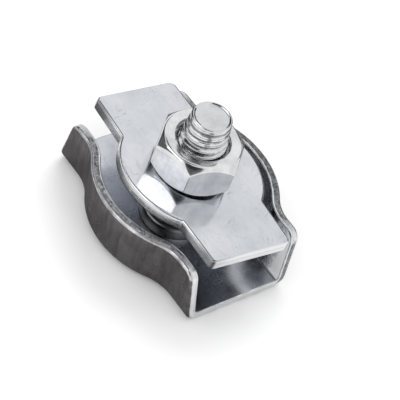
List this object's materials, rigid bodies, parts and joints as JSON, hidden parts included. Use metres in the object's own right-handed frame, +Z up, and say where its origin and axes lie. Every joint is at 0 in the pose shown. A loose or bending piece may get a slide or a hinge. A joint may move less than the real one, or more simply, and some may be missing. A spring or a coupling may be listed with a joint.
{
  "type": "simplex wire rope clip",
  "caption": "Bright zinc-plated wire rope clip: a bulged sheet-steel channel with a riveted upright bolt, a loose clamp plate and a hex nut.",
  "frame": {"origin": "on the bolt's axis in the plane of the channel's underside", "axes": "+Z up the bolt to its free end, X along the rope from mouth to mouth, Y across the channel"},
  "size_m": [0.0284, 0.024, 0.0192],
  "materials": {
    "zinc_sheet": "bright zinc plating on pressed sheet",
    "zinc_bolt": "bright zinc plating on a rolled thread",
    "zinc_plate": "bright zinc plating on a flat stamping",
    "zinc_nut": "bright zinc plating"
  },
  "bodies": {
    "root": {"channel": "zinc_sheet", "bolt": "zinc_bolt"},
    "plate": {"clamp_plate": "zinc_plate"},
    "nut": {"hex_nut": "zinc_nut"}
  },
  "joints": [
    {"name": "plate_slide", "type": "slide", "parent": "root", "child": "plate", "axis": [0, 0, 1], "range_m": [-0.0026, 0.0035]},
    {"name": "nut_spin", "type": "hinge", "parent": "plate", "child": "nut", "pos_m": [0, 0, 0.0127], "axis": [0, 0, 1], "range_deg": [-937, 1261]}
  ],
  "couplings": [
    {"joint": "nut_spin", "follows": "plate_slide", "rad_per_m": 6283.2}
  ]
}
